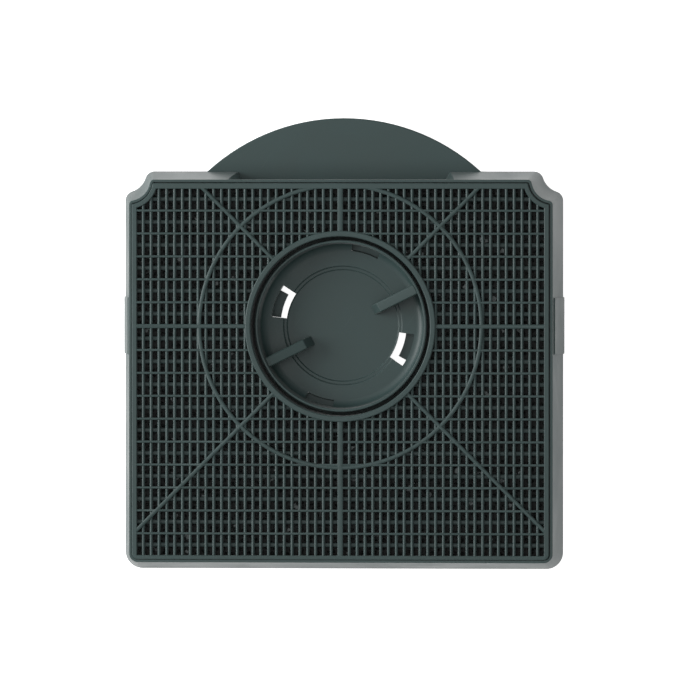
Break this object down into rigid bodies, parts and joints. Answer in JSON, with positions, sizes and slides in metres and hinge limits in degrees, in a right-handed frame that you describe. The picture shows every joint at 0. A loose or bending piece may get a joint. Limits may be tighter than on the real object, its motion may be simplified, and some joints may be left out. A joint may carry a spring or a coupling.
{
  "type": "cooker hood carbon filter",
  "caption": "Flat box-shaped carbon filter for a cooker hood, with a slatted grille, a D-shaped flange and a twist-lock hub with finger grips.",
  "frame": {"origin": "the twist hub's axis in the back plane", "axes": "+Z out of the front grille, +Y towards the flange, +X to the right seen from the front"},
  "size_m": [0.2414, 0.2465, 0.03],
  "materials": {
    "case_plastic": "dark grey-green moulded plastic, faint satin grain",
    "grille_plastic": "dark grey-green moulded plastic, faint satin grain",
    "hub_plastic": "dark grey-green moulded plastic, faint satin grain",
    "active_carbon": "loose black granules with a few bright facets"
  },
  "bodies": {
    "case": {"rear_housing": "case_plastic", "front_grille": "grille_plastic", "carbon_bed": "active_carbon"},
    "hub": {"twist_hub": "hub_plastic"}
  },
  "joints": [
    {"name": "hub_twist", "type": "hinge", "parent": "case", "child": "hub", "pos_m": [0, 0, 0], "axis": [0, 0, 1], "range_deg": [-26.35, 0]}
  ]
}
